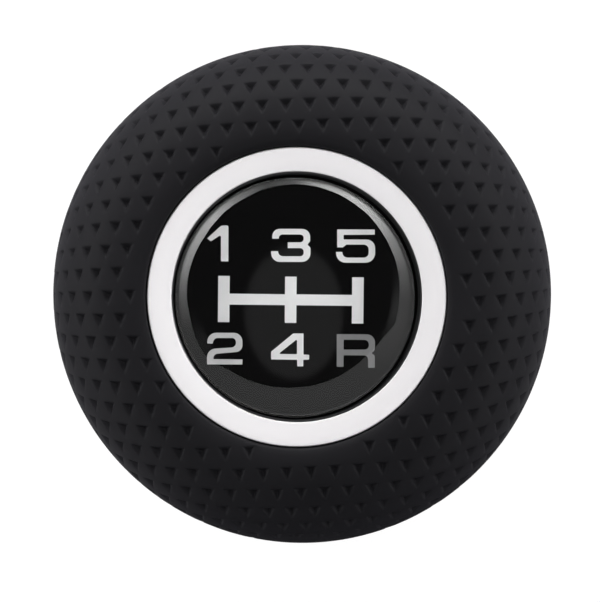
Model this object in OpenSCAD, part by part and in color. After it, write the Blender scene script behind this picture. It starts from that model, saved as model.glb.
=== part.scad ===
// Gear shift knob with a pitted soft grip cover, a satin trim ring and a domed shift-pattern emblem.
// It stands upright on its neck: +Z runs up the lever axis, the origin is the centre of the base,
// and +Y is the top of the shift pattern. All sizes are in millimetres.

/* [Head] */
// Outside diameter of the head at its widest line
head_d = 50; // [48:0.5:52]
// Height of the widest line above the base
belly_z = 44; // [43:0.5:46]
// Radius of the rounded shoulder above the widest line
shoulder_r = 10.2; // [10:0.1:10.6]
// Radius of the belly curve below the widest line
belly_r = 26; // [25:0.5:27]
// Diameter of the neck
neck_d = 30; // [29.5:0.5:31]
// Radius of the hollow curve where the belly meets the neck
hollow_r = 6; // [5:0.5:7]
// Radius of the lip that rolls over to the trim ring
lip_r = 1.6; // [1.2:0.1:1.8]
// Thickness of the soft grip cover
cover_t = 2.2; // [2:0.1:2.4]

/* [Pits] */
// Width of one pit, along its flat edge
pit_w = 1.4; // [1.2:0.02:1.5]
// Length of one pit, from its flat edge to its tip
pit_l = 1.5; // [1.2:0.05:1.6]
// Depth of one pit
pit_deep = 0.8; // [0.5:0.05:0.9]
// Distance between pits in a row
pit_pitch = 2.43; // [2.3:0.01:2.7]
// Distance between rows of pits
row_pitch = 2.33; // [2.2:0.01:2.6]
// Turn of the rows against the shift pattern
row_turn = 2.7; // [-5:0.1:5]
// Plain margin of the top between the trim ring and the first pits
pit_margin = 1.2; // [1:0.1:3]
// Reach of the upper rows below the widest line
pit_reach = 0.9; // [0:0.1:1]
// Plain band between the upper rows and the lower rows
band_h = 2.6; // [2.4:0.1:3.5]
// Plain margin between the lowest row and the hollow curve
foot_margin = 2; // [1:0.1:4]

/* [Trim ring] */
// Gap between the emblem plate and the trim ring
ring_gap = 0.3; // [0.2:0.05:0.4]
// Width of the trim ring
ring_w = 2.45; // [2.3:0.05:2.6]
// Thickness of the trim ring
ring_t = 0.95; // [0.8:0.05:1.1]
// Bevel of the trim ring's upper edges
ring_bevel = 0.12; // [0.05:0.01:0.2]
// Thickness of the adhesive tape under the trim ring
tape_t = 0.2; // [0.1:0.05:0.3]

/* [Emblem] */
// Diameter of the emblem plate
plate_d = 24.4; // [24:0.1:24.6]
// Thickness of the emblem plate
plate_t = 0.85; // [0.7:0.05:1]
// Width of the plate's edge that shows round the clear lens
plate_edge = 0.1; // [0.05:0.05:0.2]
// Height of the lens at its centre
lens_h = 1.9; // [1.7:0.05:2.2]
// Height of the lens where its edge starts to round over
lens_side = 0.7; // [0.6:0.05:0.8]
// Radius of the lens edge
lens_edge_r = 0.25; // [0.2:0.05:0.3]
// Set-back of the adhesive foam pad from the plate's edge
pad_setback = 0.6; // [0.2:0.1:1.2]
// Thickness of the adhesive foam pad
pad_t = 0.6; // [0.4:0.05:0.8]
// Depth of the emblem pocket below the ring seat
pocket_deep = 1.4; // [1.3:0.05:1.5]

/* [Shift pattern] */
// Thickness of the printed marks
print_t = 0.06; // [0.04:0.01:0.1]
// Distance between the upright bars of the gate
gate_pitch = 6.64; // [6.2:0.01:7]
// Length of the upright bars
gate_h = 4.57; // [4:0.01:5.2]
// Thickness of the upright bars
bar_w = 1.14; // [0.8:0.01:1.5]
// Thickness of the bar across
span_w = 1.08; // [0.8:0.01:1.5]
// Sideways set of the print on its plate
print_shift = -0.62; // [-0.8:0.02:0.8]
// Set of the print towards the bottom of the shift pattern
print_drop = 0.29; // [0:0.01:0.6]

/* [Core] */
// Wall of the hard core
core_wall = 2.4; // [2.2:0.1:2.6]
// Diameter of the core's middle column
column_d = 24.8; // [24.4:0.1:25.2]
// Height of the column's top, where the cap's bosses stand
column_z = 42; // [41.8:0.1:42.4]
// Height of the cavity floor
cavity_z = 31; // [30.6:0.1:31.6]
// Thickness of the emblem pocket's floor
pocket_floor_t = 2; // [1.8:0.1:2.4]
// Depth of the tongue that centres the cap
tongue_h = 1.4; // [1:0.1:1.8]
// Thickness of that tongue
tongue_t = 1; // [0.8:0.1:1.2]
// Thickness of the ribs
rib_t = 1.2; // [1:0.1:1.6]
// Number of ribs under the cap
rib_n = 6; // [3:1:9]

/* [Cap screws] */
// Diameter of the circle that the screws stand on
screw_circle_d = 16; // [15:0.5:17]
// Number of screws
screw_n = 3; // [2:1:4]
// Diameter of the screw shank
screw_d = 2.4; // [2:0.1:2.8]
// Diameter of the screw head
screw_head_d = 5.2; // [4.6:0.1:5.6]
// Height of the screw head
screw_head_h = 1.6; // [1.4:0.1:1.8]
// Length of the screw under its head
screw_l = 14; // [12:0.5:15]
// Wall of the bosses around the screws
boss_wall = 1.5; // [1.2:0.1:1.8]

/* [Weight] */
// Height of the counterweight
weight_h = 10; // [8:0.5:10.2]
// Height of the foam ring on the counterweight
foam_h = 1.8; // [1:0.1:2]

/* [Lever socket] */
// Minor diameter of the thread for the lever
thread_d = 10.38; // [10:0.01:10.6]
// Length of the threaded bush
bush_l = 24; // [22:0.5:25]
// Outside diameter of the bush
bush_d = 16; // [15.6:0.1:16.4]
// Diameter of the bush's flange
flange_d = 21; // [20.6:0.1:21.2]
// Thickness of that flange
flange_t = 2; // [1.8:0.1:2.4]
// Height of the flange's underside above the base
flange_z = 4; // [3.8:0.1:4.4]
// Diameter of the three notches in the flange
notch_d = 2.4; // [2:0.1:2.8]
// Depth of the bevel at both ends of the thread
thread_bevel = 0.9; // [0.6:0.1:1.2]
// Wall of the rubber damping sleeve
sleeve_t = 1.85; // [1.7:0.05:2]
// Thickness of the snap ring
snap_t = 1.2; // [1:0.1:1.4]
// Depth of the snap ring's groove in the core
snap_deep = 0.7; // [0.5:0.05:0.8]
// Opening of the snap ring, as an angle
snap_gap = 50; // [40:5:80]

/* [Neck collar] */
// Height of the neck collar
collar_h = 14; // [12:0.5:14.5]
// Height of the groove's lower edge, which takes the gaiter
groove_z = 4; // [3:0.5:6]
// Height of that groove
groove_h = 3; // [2:0.5:4]
// Depth of that groove
groove_deep = 1; // [0.6:0.1:1.2]
// Bevel of the collar's edges
collar_bevel = 0.4; // [0.2:0.1:0.6]

/* [Hidden] */
$fn = 96;

// Overrun of every cut past the face that it opens
run = 0.2;
// Clearance between the grip cover and the core that it is moulded on
skin_gap = 0.05;
// Clearance round pieces that seat in each other
fit_gap = 0.05;
// Clearance round the counterweight
weight_gap = 0.3;
// Thickness of the stop pad that the lever's end meets
stop_t = 3;

// Centres of the three arcs of the head's outline
shoulder_c = head_d / 2 - shoulder_r;
belly_c = head_d / 2 - belly_r;
hollow_c = neck_d / 2 + hollow_r;
blend_a = acos((hollow_c - belly_c) / (belly_r + hollow_r));
hollow_z = belly_z - (belly_r + hollow_r) * sin(blend_a);
// Straight pieces that each arc is drawn with
shoulder_steps = 12;
belly_steps = 12;
hollow_steps = 5;

// Lengths along the outline, from the axis: to the widest line, and to the hollow curve
belly_s = shoulder_c + shoulder_r * PI / 2;
blend_s = belly_s + belly_r * PI * blend_a / 180;

// Insets of the core's outside and of its inner wall
core_inset = cover_t + skin_gap;
cavity_inset = core_inset + core_wall;
core_neck_r = neck_d / 2 - core_inset;

// Ring seat and emblem pocket
seat_z = belly_z + shoulder_r - core_inset;
ring_in = plate_d / 2 + ring_gap;
ring_out = ring_in + ring_w;
lip_in = ring_out + fit_gap;
lip_c = lip_in + lip_r;
lip_z = belly_z + sqrt(pow(shoulder_r - lip_r, 2) - pow(lip_c - shoulder_c, 2));
lip_a = atan2(lip_z - belly_z, lip_c - shoulder_c);
pocket_r = plate_d / 2 + 2 * fit_gap;
pocket_z = seat_z - pocket_deep;
plate_z = pocket_z + pad_t;
print_z = plate_z + plate_t;
// Set-back of the tape from both edges of the trim ring
tape_inset = 0.3;
// Bevel of the emblem plate's upper edge
plate_bevel = 0.05;

// Lens: a wide crown arc that runs into a small edge arc
lens_r = plate_d / 2 - plate_edge;
lens_q = lens_h - lens_side;
lens_e = lens_r - lens_edge_r;
crown_r = (pow(lens_e, 2) + pow(lens_q, 2) - pow(lens_edge_r, 2)) / (2 * (lens_q - lens_edge_r));
crown_a = asin(lens_e / (crown_r - lens_edge_r));
crown_steps = 10;
edge_steps = 6;
// Room in the lens round the printed marks, and the turn of the print on its plate
print_relief = 0.02;
print_turn = -0.5;

// Cap of the core: its underside, and the tongue that drops into the lower half
cap_under_z = pocket_z - pocket_floor_t;
tongue_r = head_d / 2 - cavity_inset;
// Room round the screw shanks in the cap, and round their heads
boss_clear = 0.4;
head_clear = 0.4;
boss_r = screw_d / 2 + boss_clear + boss_wall;
// Depth of the screw heads below the emblem pocket's floor
head_sink = 0.2;
screw_z = pocket_z - head_sink - screw_head_h;
// Room round the shanks in the column, and below their tips
pilot_gap = 0.05;
pilot_extra = 0.8;
// Screw tip and cross recess as shares of the shank and of the head
screw_tip_share = 0.5;
cross_share = 0.6;
cross_w = 0.7;
// Direction of the first screw and of the first rib
screw_start = 90;
// Underside of the ribs, and their set-back from the tongue
rib_z = cavity_z + weight_h + foam_h;
rib_inset = 0.75;

// Socket: bush, sleeve, stop pad and snap ring
sleeve_in = bush_d / 2 + fit_gap;
bore_r = sleeve_in + sleeve_t + fit_gap;
flange_top = flange_z + flange_t;
bush_top = flange_z + bush_l;
bore_top = bush_top + stop_t;
flange_seat_r = flange_d / 2 + fit_gap;
// Notches of the flange, which keep the bush from turning
notch_n = 3;
// Grooves round the bush and round its sleeve: number, height and depth
bush_groove_n = 2;
bush_groove_h = 3;
bush_groove_deep = 0.6;
sleeve_groove_n = 4;
sleeve_groove_h = 1.4;
sleeve_groove_deep = 0.5;
// Snap ring: its outside radius, its width, and its lugs with their holes
snap_r = flange_seat_r + snap_deep;
snap_w = 1.7;
lug_r = 1.5;
lug_hole_r = 0.6;

// Snap bead that holds the neck collar: how far it stands out, its lower edge and its height
bead_t = 0.2;
bead_z = 1;
bead_h = 1;
collar_in = core_neck_r + fit_gap;

// Lattice of the upper pits: its set and lean, as shares of the pitch
set_share = 0.04;
set_row_share = 0.48;
lean_share = 0.021;
stagger_share = 0.5;
// Place of a pit's deepest point, as a share of its length from the flat edge
deep_share = 0.55;
// Height of a pit cutter's rim above the outline
pit_rise = 0.15;

function arc(c, r, from, to, steps) =
    [for (i = [0:steps]) let (a = from + (to - from) * i / steps) c + r * [cos(a), sin(a)]];

// Outline of the head from the crown to the base, moved inwards by inset
function outline(inset) = concat(
    arc([shoulder_c, belly_z], shoulder_r - inset, 90, 0, shoulder_steps),
    arc([belly_c, belly_z], belly_r - inset, 0, -blend_a, belly_steps),
    arc([hollow_c, hollow_z], hollow_r + inset, 180 - blend_a, 180, hollow_steps),
    [[neck_d / 2 - inset, 0]]
);

// Point of the outside at length s from the axis: [radius, height, slope]
function outside_at(s) = s < belly_s
    ? let (a = max(s - shoulder_c, 0) / shoulder_r * 180 / PI)
      [shoulder_c + shoulder_r * sin(a), belly_z + shoulder_r * cos(a), a]
    : let (a = (s - belly_s) / belly_r * 180 / PI)
      [belly_c + belly_r * cos(a), belly_z - belly_r * sin(a), 90 + a];

// Half section of the solid head, moved inwards by inset, between two heights
module head_section(inset, low = 0, high = belly_z + shoulder_r) {
    intersection() {
        polygon(concat([[0, 0], [0, belly_z + shoulder_r - inset]], outline(inset)));
        translate([0, low]) square([head_d, high - low]);
    }
}

// Half section of a straight tube
module tube_section(inner, outer, low, high) {
    translate([inner, low]) square([outer - inner, high - low]);
}

// What rounds the cover's lip over to the trim ring
module lip_round() {
    reach = 2 * lip_r;
    translate([lip_c, lip_z]) difference() {
        polygon([
            [0, 0], [-lip_r - run, 0], [-lip_r - run, reach], reach * [cos(lip_a), sin(lip_a)]
        ]);
        circle(r = lip_r);
    }
}

// One pit as a cutter: three slopes from a flat edge at +Y and a tip at -Y down to the deepest point.
// At height zero it has the pit's own size, and it widens to its rim above.
module pit_cut() {
    rise = 1 + pit_rise / pit_deep;
    deepest = [0, pit_l * (0.5 - deep_share)];
    corners = [[-pit_w / 2, pit_l / 2], [pit_w / 2, pit_l / 2], [0, -pit_l / 2]];
    rim = [for (c = corners) let (p = deepest + (c - deepest) * rise) [p[0], p[1], pit_rise]];
    polyhedron(
        points = concat(rim, [[deepest[0], deepest[1], -pit_deep]]),
        faces = [[0, 1, 2], [1, 0, 3], [2, 1, 3], [0, 2, 3]]
    );
}

// A pit at length s along the outline and angle phi round the axis, turned about its own normal
module pit_at(s, phi, turn) {
    at = outside_at(s);
    rotate(phi) translate([at[0], 0, at[1]]) rotate([0, at[2], 0]) rotate(turn) pit_cut();
}

// Straight staggered rows, laid over the top like a flat sheet: lengths from the axis are kept
module upper_pits() {
    reach = belly_s + pit_reach;
    rows = ceil(reach / row_pitch) + 1;
    for (k = [-rows:rows], i = [-rows:rows]) {
        u = pit_pitch * (i + stagger_share * (abs(k) % 2) + set_share + lean_share * k);
        v = row_pitch * (set_row_share - k);
        s = norm([u, v]);
        phi = atan2(v, u) + row_turn;
        if (s > lip_in + pit_margin && s < reach) pit_at(s, phi, row_turn - phi);
    }
}

// Rows of pits round the belly, staggered, with their tips towards the neck
module lower_pits() {
    first = belly_s + pit_reach + band_h;
    for (k = [0:floor((blend_s - foot_margin - first) / row_pitch)]) {
        s = first + k * row_pitch;
        count = round(2 * PI * outside_at(s)[0] / pit_pitch);
        for (i = [0:count - 1]) pit_at(s, (i + stagger_share * (k % 2)) * 360 / count, 90);
    }
}

module grip_cover() {
    color([0.16, 0.16, 0.17]) difference() {
        rotate_extrude() difference() {
            head_section(0, collar_h);
            head_section(cover_t);
            tube_section(0, lip_in, belly_z, belly_z + shoulder_r + run);
            lip_round();
        }
        upper_pits();
        lower_pits();
    }
}

module trim_ring() {
    low = seat_z + tape_t;
    high = low + ring_t;
    color([0.9, 0.9, 0.91]) rotate_extrude() polygon([
        [ring_in, low], [ring_out, low], [ring_out, high - ring_bevel],
        [ring_out - ring_bevel, high], [ring_in + ring_bevel, high], [ring_in, high - ring_bevel]
    ]);
}

module ring_tape() {
    color([0.2, 0.2, 0.2]) rotate_extrude()
        tube_section(ring_in + tape_inset, ring_out - tape_inset, seat_z, seat_z + tape_t);
}

// Half section of the lens, standing on the plate
module lens_section() {
    edge_c = [lens_e, lens_side];
    translate([0, print_z]) polygon(concat(
        [[0, 0], [0, lens_h]],
        [for (i = [1:crown_steps]) let (a = crown_a * i / crown_steps)
            [crown_r * sin(a), lens_h - crown_r * (1 - cos(a))]],
        arc(edge_c, lens_edge_r, 90 - crown_a, 0, edge_steps),
        [[lens_r, 0]]
    ));
}

// The gate of the shift pattern: three upright bars and one across, grown by an edge
module gate_shape(grow) {
    tall = gate_h + 2 * grow;
    wide = bar_w + 2 * grow;
    translate([print_shift, -print_drop]) rotate(print_turn) {
        for (i = [-1:1]) translate([i * gate_pitch, 0]) square([wide, tall], center = true);
        square([2 * gate_pitch + wide, span_w + 2 * grow], center = true);
    }
}

module gate_marks() {
    color([0.82, 0.82, 0.83]) translate([0, 0, print_z]) linear_extrude(print_t) gate_shape(0);
}

module lens_dome() {
    color([0.7, 0.75, 0.8, 0.3]) difference() {
        rotate_extrude() lens_section();
        translate([0, 0, print_z - run])
            linear_extrude(run + print_t + print_relief) gate_shape(print_relief);
    }
}

module emblem_plate() {
    color([0.02, 0.02, 0.02]) rotate_extrude() polygon([
        [0, plate_z], [plate_d / 2, plate_z], [plate_d / 2, print_z - plate_bevel],
        [plate_d / 2 - plate_bevel, print_z], [0, print_z]
    ]);
}

module emblem_pad() {
    color([0.1, 0.1, 0.1]) translate([0, 0, pocket_z]) cylinder(r = plate_d / 2 - pad_setback, h = pad_t);
}

// Places what it is given at each screw
module at_screws() {
    for (i = [0:screw_n - 1]) rotate(screw_start + i * 360 / screw_n)
        translate([screw_circle_d / 2, 0, 0]) children();
}

module core_cap() {
    hole_r = screw_d / 2 + boss_clear;
    rib_low = screw_circle_d / 2 + boss_r - run;
    rib_high = tongue_r - rib_inset;
    root_z = cap_under_z + run;
    color([0.25, 0.25, 0.27]) difference() {
        union() {
            rotate_extrude() difference() {
                head_section(core_inset, belly_z);
                head_section(cavity_inset, 0, cap_under_z);
                tube_section(0, pocket_r, pocket_z, belly_z + shoulder_r);
            }
            rotate_extrude()
                tube_section(tongue_r, tongue_r + tongue_t, belly_z - tongue_h, belly_z + tongue_h);
            at_screws() translate([0, 0, column_z]) cylinder(r = boss_r, h = root_z - column_z);
            for (i = [0:rib_n - 1]) rotate(screw_start + i * 360 / rib_n)
                translate([rib_low, -rib_t / 2, rib_z]) cube([rib_high - rib_low, rib_t, root_z - rib_z]);
        }
        at_screws() {
            translate([0, 0, column_z - run]) cylinder(r = hole_r, h = pocket_z - column_z);
            translate([0, 0, screw_z])
                cylinder(d = screw_head_d + head_clear, h = pocket_z + run - screw_z);
        }
    }
}

// Half section of the snap bead round the core's neck, and of its seat in the collar
module bead_section(low, tall) {
    translate([core_neck_r, low])
        polygon([[-run, 0], [0, 0], [bead_t, tall / 2], [0, tall], [-run, tall]]);
}

module core_body() {
    rabbet_z = belly_z - tongue_h - fit_gap;
    pilot_z = screw_z - screw_l - pilot_extra;
    color([0.22, 0.22, 0.24]) difference() {
        union() {
            rotate_extrude() difference() {
                union() {
                    head_section(core_inset, 0, belly_z);
                    bead_section(bead_z, bead_h);
                }
                intersection() {
                    head_section(cavity_inset);
                    tube_section(column_d / 2, head_d / 2, cavity_z, belly_z + run);
                }
                tube_section(0, column_d / 2 + run, column_z, belly_z + run);
                tube_section(0, tongue_r + tongue_t + fit_gap, rabbet_z, belly_z + run);
                tube_section(0, bore_r, 0, bore_top);
                tube_section(0, flange_seat_r, -run, flange_top);
                tube_section(0, snap_r + fit_gap, flange_z - snap_t - fit_gap, flange_z);
            }
            at_notches() translate([0, 0, flange_z + fit_gap])
                cylinder(d = notch_d - 2 * fit_gap, h = flange_t - 2 * fit_gap);
        }
        at_screws() translate([0, 0, pilot_z])
            cylinder(d = screw_d + 2 * pilot_gap, h = column_z + run - pilot_z);
    }
}

// A self-tapping screw with a cross recess, its head's underside at height zero
module cap_screw() {
    head = screw_head_d / 2;
    bevel = screw_head_h / 4;
    shank = screw_d / 2;
    difference() {
        rotate_extrude() polygon([
            [0, screw_head_h], [head - bevel, screw_head_h], [head, screw_head_h - bevel], [head, 0],
            [shank, 0], [shank, -screw_l + screw_d], [shank * screw_tip_share, -screw_l], [0, -screw_l]
        ]);
        for (a = [0, 90]) rotate(a) translate([0, 0, screw_head_h])
            cube([screw_head_d * cross_share, cross_w, screw_head_h], center = true);
    }
}

module cap_screws() {
    color([0.65, 0.65, 0.67]) at_screws() translate([0, 0, screw_z]) cap_screw();
}

module counterweight() {
    color([0.5, 0.5, 0.52]) rotate_extrude() intersection() {
        head_section(cavity_inset + weight_gap);
        tube_section(column_d / 2 + weight_gap, head_d / 2, cavity_z, cavity_z + weight_h);
    }
}

module foam_ring() {
    inner = column_d / 2 + 2 * weight_gap;
    outer = tongue_r - 2 * rib_inset;
    color([0.3, 0.3, 0.3]) rotate_extrude() tube_section(inner, outer, cavity_z + weight_h, rib_z);
}

// Places what it is given at each notch of the bush's flange
module at_notches() {
    for (i = [0:notch_n - 1]) rotate(i * 360 / notch_n) translate([flange_d / 2, 0, 0]) children();
}

module thread_bush() {
    bush_r = bush_d / 2;
    mouth_d = thread_d + 2 * thread_bevel;
    groove_gap = (bush_l - flange_t - bush_groove_n * bush_groove_h) / (bush_groove_n + 1);
    color([0.76, 0.62, 0.3]) difference() {
        rotate_extrude() difference() {
            union() {
                tube_section(0, bush_r, flange_z, bush_top);
                tube_section(0, flange_d / 2, flange_z, flange_top);
            }
            for (i = [0:bush_groove_n - 1]) {
                low = flange_top + groove_gap + i * (groove_gap + bush_groove_h);
                tube_section(bush_r - bush_groove_deep, bush_r + run, low, low + bush_groove_h);
            }
        }
        translate([0, 0, flange_z - run]) cylinder(d = thread_d, h = bush_l + 2 * run);
        translate([0, 0, flange_z]) cylinder(d1 = mouth_d, d2 = thread_d, h = thread_bevel);
        translate([0, 0, bush_top - thread_bevel]) cylinder(d1 = thread_d, d2 = mouth_d, h = thread_bevel);
        at_notches() translate([0, 0, flange_z - run]) cylinder(d = notch_d, h = flange_t + 2 * run);
    }
}

module damping_sleeve() {
    outer = bore_r - fit_gap;
    groove_gap = (bush_top - flange_top - sleeve_groove_n * sleeve_groove_h) / (sleeve_groove_n + 1);
    color([0.12, 0.12, 0.12]) rotate_extrude() difference() {
        tube_section(sleeve_in, outer, flange_top, bush_top);
        for (i = [0:sleeve_groove_n - 1]) {
            low = flange_top + groove_gap + i * (groove_gap + sleeve_groove_h);
            tube_section(outer - sleeve_groove_deep, outer + run, low, low + sleeve_groove_h);
        }
    }
}

module stop_pad() {
    color([0.15, 0.15, 0.15]) translate([0, 0, bush_top]) cylinder(r = bore_r - fit_gap, h = stop_t);
}

module snap_ring() {
    inner = snap_r - snap_w;
    lug_at = inner;
    far = 2 * snap_r;
    half = snap_gap / 2;
    color([0.45, 0.45, 0.47]) translate([0, 0, flange_z - snap_t]) linear_extrude(snap_t) difference() {
        union() {
            difference() {
                circle(r = snap_r);
                circle(r = inner);
                polygon([[0, 0], far * [cos(half), -sin(half)], [far, 0], far * [cos(half), sin(half)]]);
            }
            for (side = [-1, 1]) rotate(side * half) translate([lug_at, 0]) circle(r = lug_r);
        }
        for (side = [-1, 1]) rotate(side * half) translate([lug_at, 0]) circle(r = lug_hole_r);
    }
}

module neck_collar() {
    outer = neck_d / 2;
    color([0.1, 0.1, 0.11]) rotate_extrude() difference() {
        polygon([
            [collar_in, 0], [outer - collar_bevel, 0], [outer, collar_bevel],
            [outer, collar_h - collar_bevel], [outer - collar_bevel, collar_h], [collar_in, collar_h]
        ]);
        tube_section(outer - groove_deep, outer + run, groove_z, groove_z + groove_h);
        translate([fit_gap, 0]) bead_section(bead_z - fit_gap, bead_h + 2 * fit_gap);
    }
}

grip_cover();
trim_ring();
ring_tape();
lens_dome();
gate_marks();
emblem_plate();
emblem_pad();
core_cap();
core_body();
cap_screws();
counterweight();
foam_ring();
thread_bush();
damping_sleeve();
stop_pad();
snap_ring();
neck_collar();
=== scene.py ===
"""Dresses a packed gear shift knob: grip cover, trim ring, lens, print, lever socket and neck collar.

Sizes are millimetres in the shape functions, which work in the frame's own axes: +Z up the lever,
+Y the top of the shift pattern. A mesh is turned into metres once, where it becomes an object.
"""

import bpy
import numpy as np
from bpy.props import FloatProperty, FloatVectorProperty, IntProperty, PointerProperty
from mathutils import Matrix, Vector
from mathutils.geometry import delaunay_2d_cdt


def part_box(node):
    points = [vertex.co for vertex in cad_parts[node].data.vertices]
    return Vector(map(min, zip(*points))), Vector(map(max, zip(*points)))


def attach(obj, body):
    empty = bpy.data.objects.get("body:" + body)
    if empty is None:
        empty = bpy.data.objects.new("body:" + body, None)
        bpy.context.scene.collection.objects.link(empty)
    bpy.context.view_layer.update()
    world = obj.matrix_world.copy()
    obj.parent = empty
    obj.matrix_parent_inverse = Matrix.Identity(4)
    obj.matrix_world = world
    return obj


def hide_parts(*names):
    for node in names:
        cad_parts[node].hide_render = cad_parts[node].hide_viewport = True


bl_info = {
    "name": "Gear Shift Knob",
    "version": (1, 0, 0),
    "blender": (4, 5, 0),
    "location": "View3D > Sidebar > Gear Knob",
    "description": "Builds the surfaces and finishes of a gear shift knob round its packed frame",
    "category": "Object",
}

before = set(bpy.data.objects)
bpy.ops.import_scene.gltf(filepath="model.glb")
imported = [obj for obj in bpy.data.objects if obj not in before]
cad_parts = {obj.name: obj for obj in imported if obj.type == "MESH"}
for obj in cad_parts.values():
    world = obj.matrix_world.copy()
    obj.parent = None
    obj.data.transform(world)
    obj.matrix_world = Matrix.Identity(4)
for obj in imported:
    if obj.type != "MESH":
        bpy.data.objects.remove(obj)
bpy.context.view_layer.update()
MM = 0.001
FULL_TURN = 2 * np.pi


# Sizes and colours

def length(name, default_mm, description):
    """A length property, shown in the scene's unit."""
    return FloatProperty(name=name, default=default_mm * MM, description=description,
                         min=0.0, unit="LENGTH", subtype="DISTANCE", precision=5)


def colour(name, default, description):
    """A linear colour property."""
    return FloatVectorProperty(name=name, default=default, description=description,
                               min=0.0, max=1.0, size=3, subtype="COLOR")


class KnobHeadSizes(bpy.types.PropertyGroup):
    """Sizes of the head's outline and of its grip cover."""

    head_d: length("Head diameter", 50.0, "Outside diameter at the widest line")
    belly_z: length("Widest line", 44.0, "Height of the widest line above the base")
    shoulder_r: length("Shoulder radius", 10.2, "Radius of the rounded shoulder")
    belly_r: length("Belly radius", 26.0, "Radius of the curve below the widest line")
    neck_d: length("Neck diameter", 30.0, "Diameter of the neck")
    hollow_r: length("Hollow radius", 6.0, "Radius of the hollow above the neck")
    lip_r: length("Lip radius", 3.7, "Radius of the lip that rolls over to the ring")
    lip_edge_r: length("Lip edge radius", 0.2, "Radius of the lip's edge against the ring")
    lip_lean: FloatProperty(name="Lip lean", default=np.radians(18.0), subtype="ANGLE",
                            description="Slope of the lip where its edge begins")
    cover_t: length("Cover thickness", 2.2, "Thickness of the soft grip cover")
    foot_r: length("Foot rounding", 0.25, "Rounding of the cover's lower edge")
    lip_gap: length("Lip gap", 0.15, "Gap between the lip and the trim ring")
    collar_h: length("Collar height", 14.0, "Height of the neck collar under the cover")


class KnobPitSizes(bpy.types.PropertyGroup):
    """Sizes of the pits and of the rows that they stand in."""

    width: length("Pit width", 1.4, "Width of a pit along its flat edge")
    long: length("Pit length", 1.5, "Length from the flat edge to the tip")
    deep: length("Pit depth", 0.62, "Depth of a pit")
    soft: length("Rim softness", 0.13, "Width over which a pit's rim is rounded")
    corner: length("Corner rounding", 0.1, "Rounding of a pit's corners")
    pitch: length("Pit pitch", 2.404, "Distance between pits in a row")
    row_pitch: length("Row pitch", 2.307, "Distance between rows")
    margin: length("Top margin", 1.1, "Plain margin between the ring and the first pits")
    reach: length("Reach", 0.9, "Reach of the upper rows below the widest line")
    band: length("Plain band", 2.6, "Plain band between upper and lower rows")
    foot_margin: length("Foot margin", 2.0, "Plain margin above the hollow curve")
    turn: FloatProperty(name="Row turn", default=np.radians(2.79), subtype="ANGLE",
                        description="Turn of the upper rows against the shift pattern")


class KnobEmblemSizes(bpy.types.PropertyGroup):
    """Sizes of the trim ring, the emblem plate, the lens and the print."""

    ring_in: length("Ring inside radius", 12.5, "Inside radius of the trim ring")
    ring_out: length("Ring outside radius", 14.95, "Outside radius of the trim ring")
    ring_edge: length("Ring edge", 0.12, "Rounding of the trim ring's upper edges")
    plate_edge: length("Plate edge", 0.05, "Rounding of the emblem plate's upper edge")
    lens_r: length("Lens radius", 11.98, "Radius of the clear lens")
    lens_h: length("Lens height", 1.9, "Height of the lens at its centre")
    lens_side: length("Lens side", 0.7, "Height where the lens edge starts to round over")
    lens_edge_r: length("Lens edge radius", 0.25, "Radius of the lens edge")
    label_set: FloatVectorProperty(name="Emblem set", default=(-0.19 * MM, -0.06 * MM), size=2,
                                   unit="LENGTH", subtype="TRANSLATION",
                                   description="Set of the plate and the lens off the ring's centre")
    print_t: length("Print thickness", 0.06, "Thickness of the printed marks")
    print_shift: FloatProperty(name="Print shift", default=-0.62 * MM, unit="LENGTH",
                               subtype="DISTANCE", description="Sideways set of the print")
    print_drop: length("Print drop", 0.29, "Set of the print towards the bottom of the pattern")
    print_turn: FloatProperty(name="Print turn", default=np.radians(-0.5), subtype="ANGLE",
                              description="Turn of the print on its plate")


class KnobSocketSizes(bpy.types.PropertyGroup):
    """Sizes of the threaded bush and of the neck collar."""

    minor_r: length("Thread minor radius", 5.19, "Minor radius of the lever thread")
    pitch: length("Thread pitch", 1.5, "Pitch of the lever thread")
    bevel: length("Thread bevel", 0.9, "Bevel at both ends of the thread")
    bush_r: length("Bush radius", 8.0, "Outside radius of the bush")
    flange_r: length("Flange radius", 10.5, "Radius of the bush's flange")
    flange_t: length("Flange thickness", 2.0, "Thickness of the flange")
    notch_r: length("Notch radius", 1.2, "Radius of the notches in the flange")
    notches: IntProperty(name="Notches", default=3, min=1, max=8,
                         description="Number of notches in the flange")
    groove_z: length("Groove height", 4.0, "Height of the collar groove's lower edge")
    groove_h: length("Groove width", 3.0, "Width of the collar groove")
    groove_deep: length("Groove depth", 1.0, "Depth of the collar groove")
    collar_edge: length("Collar edge", 0.4, "Rounding of the collar's edges")


class KnobColours(bpy.types.PropertyGroup):
    """Base colours of the finishes."""

    rubber: colour("Grip", (0.0061, 0.0059, 0.0070), "Soft grip cover")
    metal: colour("Ring", (0.655, 0.642, 0.652), "Satin metal of the trim ring")
    plate: colour("Plate", (0.0016, 0.0016, 0.0017), "Gloss black emblem plate")
    silver: colour("Print", (0.98, 0.98, 0.985), "Silver print of the shift pattern")
    reverse: colour("Reverse mark", (0.25, 0.25, 0.255), "Darker print of the reverse mark")
    plastic: colour("Plastic", (0.014, 0.014, 0.0155), "Moulded collar and core")
    steel: colour("Steel", (0.50, 0.50, 0.51), "Screws, snap ring and weight")
    brass: colour("Brass", (0.66, 0.47, 0.19), "Threaded bush")
    floor: colour("Floor", (0.84, 0.84, 0.84), "Studio floor")
    floor_far: colour("Floor bounce", (0.35, 0.35, 0.35), "Studio floor where only the object sees it")


# Shapes

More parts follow.
